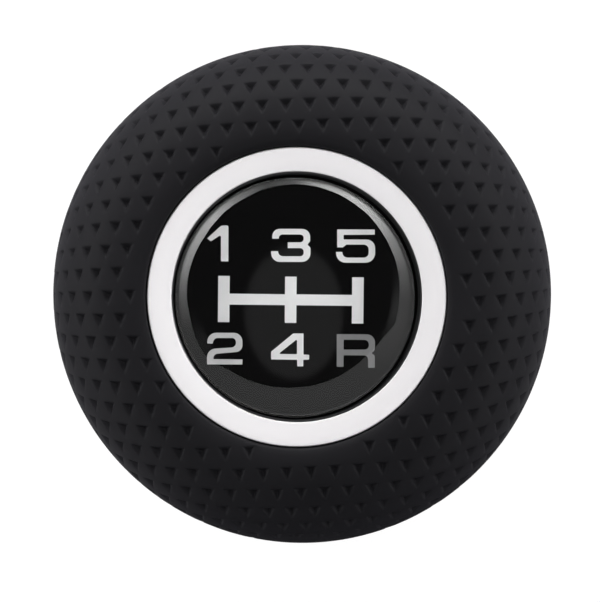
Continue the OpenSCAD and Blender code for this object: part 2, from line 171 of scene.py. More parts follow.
def round_corners(corners, radii, steps=5):
    """A closed polygon with every corner rounded by an arc of its own radius.

    At a corner the two unit edges enclose the angle w. The arc's centre lies on their bisector,
    radius / sin(w/2) from the corner, and its ends lie radius / tan(w/2) along both edges.
    """
    p = np.asarray(corners, float)
    radius = np.broadcast_to(np.asarray(radii, float), len(p))[:, None]
    back = np.roll(p, 1, axis=0) - p
    ahead = np.roll(p, -1, axis=0) - p
    back /= np.linalg.norm(back, axis=1, keepdims=True)
    ahead /= np.linalg.norm(ahead, axis=1, keepdims=True)
    half = 0.5 * np.arccos(np.clip((back * ahead).sum(1, keepdims=True), -1, 1))
    bisector = back + ahead
    bisector /= np.linalg.norm(bisector, axis=1, keepdims=True)
    centre = p + bisector * radius / np.sin(half)
    first = p + back * radius / np.tan(half) - centre
    last = p + ahead * radius / np.tan(half) - centre
    start = np.arctan2(first[:, 1], first[:, 0])
    sweep = np.arctan2(last[:, 1], last[:, 0]) - start
    sweep = (sweep + np.pi) % FULL_TURN - np.pi
    angle = start[:, None] + sweep[:, None] * np.linspace(0, 1, steps)
    ring = np.stack([np.cos(angle), np.sin(angle)], axis=-1)
    return (centre[:, None] + radius[:, None] * ring).reshape(-1, 2)


def grid_faces(rows, columns, wrap_rows=False, wrap_columns=True, first=0):
    """Four-sided faces of a grid of points, numbered row by row from first."""
    i = np.arange(rows if wrap_rows else rows - 1)[:, None]
    j = np.arange(columns if wrap_columns else columns - 1)[None]
    up, right = (i + 1) % rows, (j + 1) % columns
    quads = np.stack([i * columns + j, i * columns + right, up * columns + right, up * columns + j], -1)
    return quads.reshape(-1, 4) + first


def revolve(profile, columns=256):
    """Solid of revolution of a profile that runs counter-clockwise in the (radius, height) plane.

    Point (i, j) is (r_i cos a_j, r_i sin a_j, z_i) with a_j the j-th share of a full turn. A profile
    that starts and ends on the axis closes there with fans, any other one closes on itself.
    """
    profile = np.asarray(profile, float)
    poles = profile[0, 0] < 1e-9 and profile[-1, 0] < 1e-9
    rim = profile[1:-1] if poles else profile
    a = np.arange(columns) * FULL_TURN / columns
    r, z = rim[:, :1], rim[:, 1:]
    points = np.stack([r * np.cos(a), r * np.sin(a), z + 0 * a], -1).reshape(-1, 3)
    faces = grid_faces(len(rim), columns, wrap_rows=not poles).tolist()
    if poles:
        ends = np.array([[0, 0, profile[0, 1]], [0, 0, profile[-1, 1]]])
        low, high = len(points), len(points) + 1
        j = np.arange(columns)
        after = (j + 1) % columns
        top = (len(rim) - 1) * columns
        points = np.vstack([points, ends])
        faces += np.stack([np.full(columns, low), after, j], -1).tolist()
        faces += np.stack([np.full(columns, high), top + j, top + after], -1).tolist()
    return points, faces


def signed_area(loop):
    """Twice the area inside a loop of points, negative for a clockwise loop."""
    x, y = loop.T
    return np.sum(x * np.roll(y, -1) - y * np.roll(x, -1))


def flat_mark(loops, low, high):
    """A flat slab between two heights: its first loop is the outside, the others are holes.

    The loops are joined by a constrained triangulation, which the top and bottom share, and each
    loop carries an upright wall.
    """
    loops = [loop if signed_area(loop) > 0 else loop[::-1] for loop in loops]
    sizes = [len(loop) for loop in loops]
    flat = np.vstack(loops)
    firsts = np.cumsum([0] + sizes[:-1])
    rings = [list(range(f, f + n)) for f, n in zip(firsts, sizes)]
    result = delaunay_2d_cdt([Vector(p) for p in flat], [], rings, 1, 1e-7, True)
    source = np.array([ids[0] for ids in result[3]])
    inside = [i for i, owners in enumerate(result[5]) if list(owners) == [0]]
    cap = source[np.array([result[2][i] for i in inside])]
    n = len(flat)
    points = np.vstack([np.column_stack([flat, np.full(n, low)]), np.column_stack([flat, np.full(n, high)])])
    faces = cap[:, ::-1].tolist() + (cap + n).tolist()
    for k, ring in enumerate(rings):
        a = np.array(ring)
        b = np.roll(a, -1)
        if k > 0:
            a, b = b, a
        faces += np.stack([a, b, b + n, a + n], -1).tolist()
    return points, faces


def running_sum(values, step):
    """Trapezoid sum of values along a line, from zero."""
    return np.concatenate([[0], np.cumsum((values[1:] + values[:-1]) / 2 * step)])


class CoverPath:
    """The cover's outside as a path of length s, from the lip's inner side down to the foot.

    Its normal leans by the angle t(s) from the horizontal, which changes evenly along each arc. The
    path is the running sum of (sin t, -cos t). The map radius is exp of the running sum of 1/r: in
    polar coordinates (map radius, turn) the whole outside lies flat, with its angles kept.
    """

    def __init__(self, head, emblem):
        self.shoulder_r = head.shoulder_r / MM
        belly_r, hollow_r, lip_r = head.belly_r / MM, head.hollow_r / MM, head.lip_r / MM
        belly_z, head_r, neck_r = head.belly_z / MM, head.head_d / MM / 2, head.neck_d / MM / 2
        self.lip_r = lip_r
        self.lip_in = (emblem.ring_out + head.lip_gap) / MM
        shoulder_c = head_r - self.shoulder_r
        edge_r, edge_a = head.lip_edge_r / MM, np.pi / 2 + head.lip_lean
        lip_c = self.lip_in + edge_r + (edge_r - lip_r) * np.cos(edge_a)
        lip_z = belly_z + np.sqrt((self.shoulder_r - lip_r) ** 2 - (lip_c - shoulder_c) ** 2)
        lip_a = np.arctan2(lip_z - belly_z, lip_c - shoulder_c)
        hollow_c, belly_c = neck_r + hollow_r, head_r - belly_r
        blend_a = np.arccos((hollow_c - belly_c) / (belly_r + hollow_r))
        self.belly_s = shoulder_c + self.shoulder_r * np.pi / 2
        self.blend_s = self.belly_s + belly_r * blend_a
        self.lip_s = self.belly_s - self.shoulder_r * lip_a
        edge_s = self.lip_s - lip_r * (edge_a - lip_a)
        self.start = edge_s - edge_r * (np.pi - edge_a)
        neck_s = self.blend_s + hollow_r * blend_a
        hollow_z = belly_z - (belly_r + hollow_r) * np.sin(blend_a)
        foot_z = (head.collar_h + head.foot_r) / MM
        self.end = neck_s + hollow_z - foot_z
        self.s = np.linspace(self.start, self.end, 12001)
        knots = [self.start, edge_s, self.lip_s, self.belly_s, self.blend_s, neck_s, self.end]
        self.t = np.interp(self.s, knots, [np.pi, edge_a, lip_a, 0, -blend_a, 0, 0])
        step = self.s[1] - self.s[0]
        self.r = self.lip_in + running_sum(np.sin(self.t), step)
        self.z = lip_z + (lip_r - edge_r) * np.sin(edge_a) - running_sum(np.cos(self.t), step)
        self.map_r = np.exp(running_sum(1 / self.r, step))

    def radius(self, s):
        return np.interp(s, self.s, self.r)

    def flat(self, s, turn):
        """Place on the flat map."""
        m = np.interp(s, self.s, self.map_r)
        return np.stack([m * np.cos(turn), m * np.sin(turn)], -1)

    def point(self, s, turn, rise):
        """Place in space, at a height over the surface."""
        t = np.interp(s, self.s, self.t)
        r = self.radius(s) + rise * np.cos(t)
        z = np.interp(s, self.s, self.z) + rise * np.sin(t)
        return np.stack([r * np.cos(turn), r * np.sin(turn), z], -1)


class PitRows:
    """Places of all pits on the cover, as path length, turn round the axis and turn of the pit.

    Upper rows: a straight staggered sheet with points (u, v) is laid over the top, so that a point's
    distance from the axis is kept as path length. Lower rows: evenly spaced round the belly.
    """

    SET, ROW_SET, LEAN = 0.093, 0.343, 0.0198

    def __init__(self, path, pits):
        pitch, row_pitch, reach = pits.pitch / MM, pits.row_pitch / MM, pits.reach / MM
        edge = path.belly_s + reach
        n = int(np.ceil(edge / row_pitch)) + 1
        k, i = (m.ravel() for m in np.meshgrid(np.arange(-n, n + 1), np.arange(-n, n + 1), indexing="ij"))
        u = pitch * (i + 0.5 * (np.abs(k) % 2) + self.SET + self.LEAN * k)
        v = row_pitch * (self.ROW_SET - k)
        s = np.hypot(u, v)
        around = np.arctan2(v, u) + pits.turn
        kept = (s > path.lip_in + pits.margin / MM) & (s < edge)
        places = [np.stack([s[kept], around[kept], pits.turn - around[kept]], -1)]
        first = edge + pits.band / MM
        rows = int((path.blend_s - pits.foot_margin / MM - first) // row_pitch) + 1
        for row in range(rows):
            s = first + row * row_pitch
            count = int(round(FULL_TURN * path.radius(s) / pitch))
            around = (np.arange(count) + 0.5 * (row % 2)) * FULL_TURN / count
            places.append(np.stack([np.full(count, s), around, np.full(count, np.pi / 2)], -1))
        self.s, self.around, self.turn = np.vstack(places).T


def cover_skin(head, pits, emblem):
    """The pitted grip cover as one closed mesh.

    Each pit is a set of shrinking copies of its rounded outline. A copy at scale t lies at the depth
    (x + sqrt(x*x + soft*soft)) / 2 with x = deep * (1 - t), which rounds the rim off. The land
    between the outermost copies is triangulated on the flat map, and a revolved wall closes the back.
    """
    path = CoverPath(head, emblem)
    rows = PitRows(path, pits)
    wide, long, deep, soft = (x / MM for x in (pits.width, pits.long, pits.deep, pits.soft))
    # The deepest point, as a share of the pit's length from its flat edge
    tip_share = 0.27
    centre = np.array([0, long * (0.5 - tip_share)])
    corners = np.array([[-wide / 2, long / 2], [0, -long / 2], [wide / 2, long / 2]])
    curved = round_corners(corners, pits.corner / MM, 3).reshape(3, 3, 2)
    leave, arrive = curved[:, -1], np.roll(curved[:, 0], -1, axis=0)
    between = leave[:, None] + (arrive - leave)[:, None] * np.array([1 / 3, 2 / 3])[None, :, None]
    outline = np.concatenate([curved, between], axis=1).reshape(-1, 2) - centre
    scales = np.array([1.3, 1.12, 1.0, 0.86, 0.45])
    columns = len(outline)
    count = len(rows.s)

    cos, sin = np.cos(rows.turn), np.sin(rows.turn)

    def place(local):
        """Path length and turn of points given in each pit's own axes: local is (..., 2)."""
        along = rows.s[:, None] + cos[:, None] * local[..., 0] - sin[:, None] * local[..., 1]
        across = sin[:, None] * local[..., 0] + cos[:, None] * local[..., 1]
        return along, rows.around[:, None] + across / path.radius(rows.s)[:, None]

    drop = 0.5 * (1 / path.lip_r - 1 / path.shoulder_r) * np.clip(path.lip_s - rows.s, 0, None) ** 2

    def depth(scale):
        x = deep * (1 - scale) - drop
        rim = deep * (1 - scales[0]) - drop
        return (x + np.hypot(x, soft) - rim - np.hypot(rim, soft)) / 2

    # Land between the pits: outlines, filling points and the two round edges
    ring_s, ring_turn = place((centre + scales[0] * outline)[None])
    edge_columns = 192
    edge_turn = np.arange(edge_columns) * FULL_TURN / edge_columns
    normals = np.roll(corners, -1, axis=0) - corners
    normals = np.stack([normals[:, 1], -normals[:, 0]], -1)
    normals /= np.linalg.norm(normals, axis=1, keepdims=True)
    reach = scales[0] * ((corners - centre) * normals).sum(1)
    fill_s, fill_turn = [], []
    fill_step, fill_pitch, fill_gap, end_gap = 0.56, 0.62, 0.17, 0.2
    steps = np.arange(path.start + fill_step / 2, path.end - end_gap, fill_step)
    for row, s in enumerate(steps):
        n = int(FULL_TURN * path.radius(s) / fill_pitch)
        turn = (np.arange(n) + 0.5 * (row % 2)) * FULL_TURN / n
        near = np.abs(rows.s - s) < 2 * long
        swing = (turn[:, None] - rows.around[near] + np.pi) % FULL_TURN - np.pi
        across = swing * path.radius(rows.s[near])
        along = s - rows.s[near]
        x = cos[near] * along + sin[near] * across
        y = -sin[near] * along + cos[near] * across - centre[1]
        gap = np.max(x[..., None] * normals[:, 0] + y[..., None] * normals[:, 1] - reach, axis=-1)
        free = gap.min(axis=1) > fill_gap if near.any() else np.ones(n, bool)
        fill_s.append(np.full(free.sum(), s))
        fill_turn.append(turn[free])
    ends = [np.full(edge_columns, path.start), np.full(edge_columns, path.end)]
    land_s = np.concatenate([ring_s.ravel(), *ends, *fill_s])
    land_turn = np.concatenate([ring_turn.ravel(), edge_turn, edge_turn, *fill_turn])
    flat = path.flat(land_s, land_turn)
    rings = np.arange(count * columns).reshape(count, columns).tolist()
    inner_edge = count * columns + np.arange(edge_columns)
    outer_edge = inner_edge + edge_columns
    result = delaunay_2d_cdt([Vector(p) for p in flat], [], rings + [inner_edge.tolist()], 0, 1e-8, True)
    source = np.array([ids[0] if ids else -1 for ids in result[3]])
    if len(source) != len(flat) or source.min() < 0:
        raise RuntimeError("the flat map of the cover has crossing outlines")
    land = [face for face, owners in zip(result[2], result[5]) if not owners]
    faces = source[np.array(land)].tolist()

    points = [path.point(land_s, land_turn, np.zeros(len(land_s)))]
    total = len(land_s)
    previous = np.arange(count * columns).reshape(count, columns)
    for scale in scales[1:]:
        s, turn = place((centre + scale * outline)[None])
        sunk = np.broadcast_to(-depth(scale)[:, None], s.shape)
        points.append(path.point(s, turn, sunk).reshape(-1, 3))
        ring = total + np.arange(count * columns).reshape(count, columns)
        a, b = previous, np.roll(previous, -1, axis=1)
        c, d = np.roll(ring, -1, axis=1), ring
        faces += np.stack([a, b, c, d], -1).reshape(-1, 4).tolist()
        previous = ring
        total += count * columns
    s, turn = place(centre[None, None])
    points.append(path.point(s, turn, -depth(0)[:, None]).reshape(-1, 3))
    middle = (total + np.arange(count))[:, None] + 0 * previous
    faces += np.stack([previous, np.roll(previous, -1, axis=1), middle], -1).reshape(-1, 3).tolist()
    total += count

    # Back of the cover: down the lip's inner wall, along the inside, and round the foot
    cover_t, foot_r = head.cover_t / MM, head.foot_r / MM
    neck_r, collar_h = head.neck_d / MM / 2, head.collar_h / MM
    back_step = 90
    inside = path.s >= path.lip_s
    back_r = (path.r - cover_t * np.cos(path.t))[inside][::back_step]
    back_z = (path.z - cover_t * np.sin(path.t))[inside][::back_step]
    deeper = back_r > path.lip_in + 0.05
    a = np.linspace(-np.pi / 2, 0, 5)
    wall = np.vstack([
        [[path.lip_in, back_z[deeper][0] + 0.1]],
        np.stack([back_r[deeper], back_z[deeper]], -1),
        [[neck_r - cover_t, collar_h + 0.1], [neck_r - cover_t + 0.1, collar_h]],
        np.stack([neck_r - foot_r + foot_r * np.cos(a), collar_h + foot_r + foot_r * np.sin(a)], -1)[:-1],
    ])
    r, z = wall[:, :1], wall[:, 1:]
    hoops = np.stack([r * np.cos(edge_turn), r * np.sin(edge_turn), z + 0 * edge_turn], -1)
    points.append(hoops.reshape(-1, 3))
    grid = total + np.arange(len(wall) * edge_columns).reshape(len(wall), edge_columns)
    grid = np.vstack([inner_edge, grid, outer_edge])
    a, b = grid[:-1], np.roll(grid, -1, axis=1)[:-1]
    c, d = np.roll(grid, -1, axis=1)[1:], grid[1:]
    faces += np.stack([a, b, c, d], -1).reshape(-1, 4).tolist()
    return np.vstack(points), faces


def lens_profile(emblem, low):
    """Half section of the lens: a crown arc and an edge arc that share a tangent, on a flat bottom."""
    r, h, side, edge = (x / MM for x in (emblem.lens_r, emblem.lens_h, emblem.lens_side, emblem.lens_edge_r))
    e, q = r - edge, h - side
    crown = (e * e + q * q - edge * edge) / (2 * (q - edge))
    reach = np.arcsin(e / (crown - edge))
    a = np.linspace(0, np.pi / 2 - reach, 14)
    rim = np.stack([e + edge * np.cos(a), side + edge * np.sin(a)], -1)
    b = np.linspace(reach, 0, 40)[1:]
    top = np.stack([crown * np.sin(b), h - crown * (1 - np.cos(b))], -1)
    foot = np.array([[0, 0], [r / 2, 0], [r - 0.04, 0], [r, 0.04]])
    return np.vstack([foot, rim, top]) + [0, low]


def threaded_bush(socket, low, high):
    """Brass bush with an internal 60 degree thread, a notched flange and two grooves.

    The bore's radius at height z and turn a is the minor radius plus the flank's height, which runs
    with the distance d of (z / pitch - a / full turn) from the nearest groove line; at both ends the
    larger of that and the bevel's cone counts. The flange's radius is the nearer of its own circle
    and of the notches' circles along the ray.
    """
    minor, pitch, bevel = socket.minor_r / MM, socket.pitch / MM, socket.bevel / MM
    bush_r, flange_r, flange_t = socket.bush_r / MM, socket.flange_r / MM, socket.flange_t / MM
    notch_r = socket.notch_r / MM
    middles = np.arange(socket.notches) * FULL_TURN / socket.notches
    swing = np.arcsin(notch_r / flange_r)
    turn = np.concatenate([np.arange(96) * FULL_TURN / 96,
                           (middles[:, None] + np.linspace(-swing, swing, 15)).ravel() % FULL_TURN])
    turn = np.unique(np.round(turn, 5))
    turn = turn[np.concatenate([[True], np.diff(turn) > 0.004])]

    off = np.abs((turn[:, None] - middles + np.pi) % FULL_TURN - np.pi).min(axis=1)
    room = notch_r ** 2 - (flange_r * np.sin(off)) ** 2
    cut = flange_r * np.cos(off) - np.sqrt(np.clip(room, 0, None))
    flange = np.where(room > 0, np.minimum(flange_r, cut), flange_r)

    groove, deep, soft = 3.0, 0.6, 0.12
    gap = (high - low - flange_t - 2 * groove) / 3
    outer = [[bush_r, low + flange_t]]
    for k in (0, 1):
        z = low + flange_t + gap + k * (gap + groove)
        outer += [[bush_r, z - soft], [bush_r - soft, z], [bush_r - deep, z + soft],
                  [bush_r - deep, z + groove - soft], [bush_r - soft, z + groove],
                  [bush_r, z + groove + soft]]
    outer += [[bush_r, high - soft], [bush_r - soft, high]]
    outer = np.array(outer)

    share = np.array([0, 0.5, 0.97])[:, None]
    entry = minor + bevel
    under = [entry + (flange - entry) * share, np.full((3, len(turn)), low)]
    side_z = low + np.array([0.15, flange_t - 0.15])[:, None]
    side = [np.broadcast_to(flange, (2, len(turn))), side_z + 0 * turn]
    over = [bush_r + (flange - bush_r) * share[::-1], np.full((3, len(turn)), low + flange_t)]
    body = [outer[1:, :1] + 0 * turn, outer[1:, 1:] + 0 * turn]
    z = np.linspace(high, low, 208)[:, None] + 0 * turn
    d = np.abs((z / pitch - turn / FULL_TURN) % 1 - 0.5) * pitch
    flank = np.clip((3 / 8 * pitch - d) / (5 / 16 * pitch), 0, 1)
    bore = minor + 0.5413 * pitch * flank
    cone = minor + bevel - np.minimum(z - low, high - z)
    inner = [np.maximum(bore, cone), z]
    r = np.vstack([part[0] for part in (under, side, over, body, inner)])[:-1]
    z = np.vstack([part[1] for part in (under, side, over, body, inner)])[:-1]
    points = np.stack([r * np.cos(turn), r * np.sin(turn), z], -1).reshape(-1, 3)
    return points, grid_faces(len(r), len(turn), wrap_rows=True).tolist()


# Corner points of the numerals, in hundredths of a millimetre round the gate's centre, each with its
# rounding. A second loop is a hole.
NUMERALS = {
    "numeral_1": [[(-836, 600, 3), (-698, 727, 13), (-626, 730, 19), (-622, 373, 3), (-696, 374, 3),
                   (-699, 637, 13), (-799, 571, 3)]],
    "numeral_3": [[(-188, 603, 3), (-189, 700, 72), (186, 702, 77), (187, 580, 37), (160, 547, 7),
                   (191, 518, 32), (193, 376, 85), (-196, 372, 85), (-198, 478, 3), (-130, 479, 3),
                   (-123, 429, 49), (124, 431, 35), (124, 512, 35), (-34, 510, 3), (-34, 568, 3),
                   (123, 570, 35), (123, 647, 35), (-121, 645, 37), (-124, 603, 3)]],
    "numeral_5": [[(454, 701, 3), (826, 704, 3), (827, 654, 3), (518, 648, 7), (518, 602, 7),
                   (831, 605, 85), (833, 375, 95), (446, 372, 93), (445, 478, 3), (507, 478, 3),
                   (509, 422, 51), (769, 425, 49), (768, 554, 49), (548, 552, 17), (511, 523, 11),
                   (456, 524, 3)]],
    "numeral_2": [[(-826, -442, 3), (-825, -337, 89), (-476, -333, 85), (-475, -518, 69), (-765, -548, 45),
                   (-764, -598, 7), (-474, -597, 3), (-476, -647, 3), (-827, -652, 3), (-830, -500, 89),
                   (-538, -476, 47), (-541, -385, 39), (-758, -387, 49), (-773, -445, 3)]],
    "numeral_4": [[(-190, -516, 7), (28, -333, 7), (129, -332, 3), (131, -541, 7), (187, -543, 7),
                   (187, -591, 7), (129, -593, 7), (129, -658, 3), (71, -659, 3), (68, -594, 7),
                   (-189, -593, 3)], [(66, -389, 8), (-118, -538, 8), (67, -538, 8)]],
    "reverse_mark": [[(459, -336, 3), (837, -334, 81), (839, -496, 43), (804, -520, 7), (838, -545, 27),
                      (839, -667, 3), (774, -667, 3), (771, -544, 41), (528, -544, 7), (528, -659, 3),
                      (462, -659, 3)], [(527, -390, 7), (527, -488, 7), (779, -486, 41), (778, -390, 45)]],
}


# Finishes

class Signal:
    """A shader socket that takes part in sums and products. Each operator adds one Math node."""

    def __init__(self, finish, socket):
        self.finish = finish
        self.socket = socket

    def math(self, operation, *values):
        return self.finish.signal("ShaderNodeMath", {"operation": operation}, dict(enumerate(values)))

    def __add__(self, other):
        return self.math("ADD", self, other)

    def __sub__(self, other):
        return self.math("SUBTRACT", self, other)

    def __rsub__(self, other):
        return self.math("SUBTRACT", other, self)

    def __mul__(self, other):
        return self.math("MULTIPLY", self, other)

    def __truediv__(self, other):
        return self.math("DIVIDE", self, other)

    def __pow__(self, other):
        return self.math("POWER", self, other)

    __radd__ = __add__
    __rmul__ = __mul__


class Finish:
    """A node material with one main shader."""

    def __init__(self, name, **constants):
        self.material = bpy.data.materials.new(name)
        self.material.use_nodes = True
        self.tree = self.material.node_tree
        self.tree.nodes.clear()
        self.output = self.tree.nodes.new("ShaderNodeOutputMaterial")
        self.shader = self.node("ShaderNodeBsdfPrincipled", {}, constants)
        self.tree.links.new(self.shader.outputs[0], self.output.inputs["Surface"])

    def node(self, kind, settings, inputs):
        """Adds a node: its settings first, then the values or links of its sockets."""
        node = self.tree.nodes.new(kind)
        for key, value in settings.items():
            setattr(node, key, value)
        for key, value in inputs.items():
            self.feed(node.inputs[key.replace("_", " ") if isinstance(key, str) else key], value)
        return node

    def feed(self, socket, value):
        if isinstance(value, Signal):
            self.tree.links.new(value.socket, socket)
        elif isinstance(value, bpy.types.NodeSocket):
            self.tree.links.new(value, socket)
        elif socket.type == "RGBA" and len(value) == 3:
            socket.default_value = (*value, 1.0)
        else:
            socket.default_value = value

    def signal(self, kind, settings, inputs, output=0):
        return Signal(self, self.node(kind, settings, inputs).outputs[output])

    def place(self):
        """Object coordinates, in metres."""
        return self.signal("ShaderNodeTexCoord", {}, {}, "Object")

    def axes(self):
        """The three Object coordinates, each on its own."""
        parts = self.node("ShaderNodeSeparateXYZ", {}, {0: self.place()})
        return [Signal(self, parts.outputs[i]) for i in range(3)]

    def noise(self, size_mm, detail=3.0, roughness=0.55, stretch=(1, 1, 1)):
        """Noise from 0 to 1 whose largest features are about size_mm."""
        mapping = self.signal("ShaderNodeMapping", {}, {"Vector": self.place(), "Scale": stretch})
        return self.signal("ShaderNodeTexNoise", {}, {
            "Vector": mapping, "Scale": 1 / (size_mm * MM), "Detail": detail, "Roughness": roughness})

    def blend(self, factor, first, second):
        """Mix of two colours."""
        mix = self.node("ShaderNodeMix", {"data_type": "RGBA"}, {0: factor, 6: first, 7: second})
        return mix.outputs[2]

    def set(self, name, value):
        self.feed(self.shader.inputs[name], value)

    def bump(self, height, depth_mm, strength=1.0):
        """Bump from a height signal of 0 to 1 that stands for depth_mm."""
        node = self.node("ShaderNodeBump", {}, {
            "Height": height, "Distance": depth_mm * MM, "Strength": strength})
        self.feed(self.shader.inputs["Normal"], node.outputs[0])


def shade(base, factor):
    """A colour made lighter or darker."""
    return tuple(min(1.0, c * factor) for c in base)


def grip_finish(colours, belly_z, ring_c, low_c):
    finish = Finish("Soft_grip_rubber", Roughness=0.5, Specular_IOR_Level=0.06)
    grain = finish.noise(0.16, 2.0, 0.6)
    cloud = finish.noise(9.0, 3.0, 0.5)
    # Normal of the cover without its pits, for a painted sheen: a lighter base colour towards the outline
    x, y, z = finish.axes()
    radius = (x * x + y * y) ** 0.5
    over = z.math("GREATER_THAN", z, belly_z)
    hub = 1 - (over * (ring_c - low_c) + low_c) / radius
    away = finish.signal("ShaderNodeCombineXYZ", {}, {0: x * hub, 1: y * hub, 2: z - belly_z})
    normal = finish.signal("ShaderNodeVectorMath", {"operation": "NORMALIZE"}, {0: away})
    painted_sheen_facing = finish.signal("ShaderNodeLayerWeight", {}, {"Normal": normal}, "Facing")
    # Painted sheen: the base colour is made lighter where the cover turns away from the camera, on top of a
    # random change of tone
    tone = (0.82 + 0.36 * cloud) * (1 + 2.2 * painted_sheen_facing * painted_sheen_facing) * 0.25
    finish.set("Base Color", finish.blend(tone, (0, 0, 0), shade(colours.rubber, 4.0)))
    finish.set("Roughness", 0.46 + 0.12 * cloud + 0.06 * grain)
    finish.bump(grain, 0.012, 0.6)
    return finish.material


def ring_finish(colours, inner, outer):
    finish = Finish("Satin_ring_metal", Metallic=1.0)
    x, y, z = finish.axes()
    radius = (x * x + y * y) ** 0.5
    lines = finish.signal("ShaderNodeTexNoise", {"noise_dimensions": "1D"}, {
        "W": radius * (1 / (0.09 * MM)), "Scale": 1.0, "Detail": 2.0})
    cloud = finish.noise(6.0)
    # Painted light: a little lighter outwards and to the left, to make up for the light that the lip keeps from
    # the ring
    outward = (radius - inner) / (outer - inner)
    tone = (0.985 + 0.03 * cloud) * (1 + 0.16 * outward + 0.045 * (0.34 * y - 0.94 * x) / radius)
    finish.set("Base Color", finish.blend(tone * 0.8, (0, 0, 0), shade(colours.metal, 1.25)))
    finish.set("Roughness", 0.56 + 0.05 * lines)
    finish.bump(lines, 0.0015, 0.5)
    return finish.material


def lens_finish():
    finish = Finish("Clear_lens_resin", Base_Color=(1.0, 1.0, 1.0), IOR=1.49, Transmission_Weight=1.0)
    finish.set("Roughness", 0.004 + 0.008 * finish.noise(3.0))
    return finish.material


def print_finish(name, base):
    """Mottled print, a little duller towards both sides and at the lower left."""
    finish = Finish(name, Metallic=0.0)
    mottle = finish.noise(0.5, 4.0, 0.65)
    x, y = finish.axes()[:2]
    side, left, down = x * (1 / 0.0066), (x + 0.0072) * (1 / 0.0035), (y + 0.0055) * (1 / 0.003)
    # Duller towards the lower left
    lower_left_dulling = finish.signal("ShaderNodeMapRange", {"interpolation_type": "SMOOTHSTEP"}, {
        "Value": left * left + down * down, "From Min": 0.3, "From Max": 1.6, "To Min": 0.25, "To Max": 0.0})
    tone = (0.95 + 0.06 * mottle) * (1 - 0.09 * (side * side)) * (1 - lower_left_dulling)
    finish.set("Base Color", finish.blend(tone, (0, 0, 0), base))
    finish.set("Roughness", 0.42 + 0.1 * mottle)
    return finish.material


def smooth_finish(name, base, roughness, metallic=0.0, grain_mm=0.3, depth_mm=0.004, vary=0.12, shine=0.5):
    """A plain finish with a fine grain and a slow change of tone."""
    finish = Finish(name, Specular_IOR_Level=shine)
    grain = finish.noise(grain_mm)
    cloud = finish.noise(7.0)
    finish.set("Base Color", finish.blend(cloud, shade(base, 1 - vary), shade(base, 1 + vary)))
    finish.set("Metallic", metallic)
    finish.set("Roughness", roughness - 0.04 + 0.08 * grain)
    finish.bump(grain, depth_mm, 0.6)
    return finish.material


def turned_finish(name, base, roughness, line_mm=0.12):
    """Metal that was turned on a lathe: fine lines along the height and the radius."""
    finish = Finish(name, Metallic=1.0)
    x, y, z = finish.axes()
    radius = (x * x + y * y) ** 0.5
    lines = finish.signal("ShaderNodeTexNoise", {"noise_dimensions": "1D"}, {
        "W": (radius + z) * (1 / (line_mm * MM)), "Scale": 1.0, "Detail": 3.0})
    cloud = finish.noise(4.0)
    finish.set("Base Color", finish.blend(cloud, shade(base, 0.88), shade(base, 1.08)))
    finish.set("Roughness", roughness + 0.1 * lines)
    finish.bump(lines, 0.004, 0.5)
    return finish.material


# Objects

def add_piece(name, shape, material, replaced=(), smooth_angle=40.0):
    """Turns points in millimetres and their faces into an object that rides on the one body."""
    points, faces = shape
    mesh = bpy.data.meshes.new(name)
    mesh.from_pydata(np.asarray(points, float) * MM, [], faces)
    if mesh.validate():
        raise RuntimeError(f"{name} has faces that don't hold")
    mesh.materials.append(material)
    mesh.shade_smooth()
    if smooth_angle < 180:
        mesh.set_sharp_from_angle(angle=np.radians(smooth_angle))
    piece = bpy.data.objects.new(name, mesh)
    bpy.context.scene.collection.objects.link(piece)
    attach(piece, "root")
    if replaced:
        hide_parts(*replaced)
    return piece


def dress_node(node, material):
    """Gives a carried-over solid its finish."""
    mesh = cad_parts[node].data
    mesh.materials.clear()
    mesh.materials.append(material)


def height_of(node):
    """Lowest and highest height of a solid, in millimetres."""
    low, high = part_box(node)
    return low.z / MM, high.z / MM


class KnobOperator:
    """What the piece operators share."""

    bl_options = {"REGISTER", "UNDO"}


class KNOB_OT_grip_cover(KnobOperator, bpy.types.Operator):
    """Builds the pitted soft grip cover"""

    bl_idname = "gear_knob.grip_cover"
    bl_label = "Grip Cover"

    def execute(self, context):
        scene = context.scene
        head = scene.knob_head
        shape = cover_skin(head, scene.knob_pits, scene.knob_emblem)
        rubber = grip_finish(scene.knob_colours, head.belly_z, head.head_d / 2 - head.shoulder_r,
                             head.head_d / 2 - head.belly_r)
        add_piece("grip_skin", shape, rubber, ["grip_cover"], 180.0)
        return {"FINISHED"}


class KNOB_OT_trim_ring(KnobOperator, bpy.types.Operator):
    """Builds the satin trim ring"""

    bl_idname = "gear_knob.trim_ring"
    bl_label = "Trim Ring"

    def execute(self, context):
        emblem = context.scene.knob_emblem
        low, high = height_of("trim_ring")
        a, b, edge = emblem.ring_in / MM, emblem.ring_out / MM, emblem.ring_edge / MM
        profile = round_corners([[a, low], [b, low], [b, high], [a, high]], [0.04, 0.04, edge, edge], 6)
        metal = ring_finish(context.scene.knob_colours, emblem.ring_in, emblem.ring_out)
        add_piece("ring_band", revolve(profile, 320), metal, ["trim_ring"])
        return {"FINISHED"}


class KNOB_OT_emblem_plate(KnobOperator, bpy.types.Operator):
    """Builds the gloss black emblem plate"""

    bl_idname = "gear_knob.emblem_plate"
    bl_label = "Emblem Plate"

    def execute(self, context):
        emblem = context.scene.knob_emblem
        low, high = height_of("emblem_plate")
        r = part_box("emblem_plate")[1].x / MM
        a = np.linspace(0, np.pi / 2, 5)[:, None]
        edge = emblem.plate_edge / MM
        corner = [r - edge, high - edge] + edge * np.hstack([np.cos(a), np.sin(a)])
        profile = np.vstack([[[0, low], [r / 2, low], [r, low]], corner, [[r / 2, high], [0, high]]])
        plate = smooth_finish("Gloss_black_plate", context.scene.knob_colours.plate, 0.12, depth_mm=0.0005,
                              shine=0.02)
        points, faces = revolve(profile, 192)
        points[:, :2] += np.array(emblem.label_set) / MM
        add_piece("plate_disc", (points, faces), plate, ["emblem_plate"])
        return {"FINISHED"}


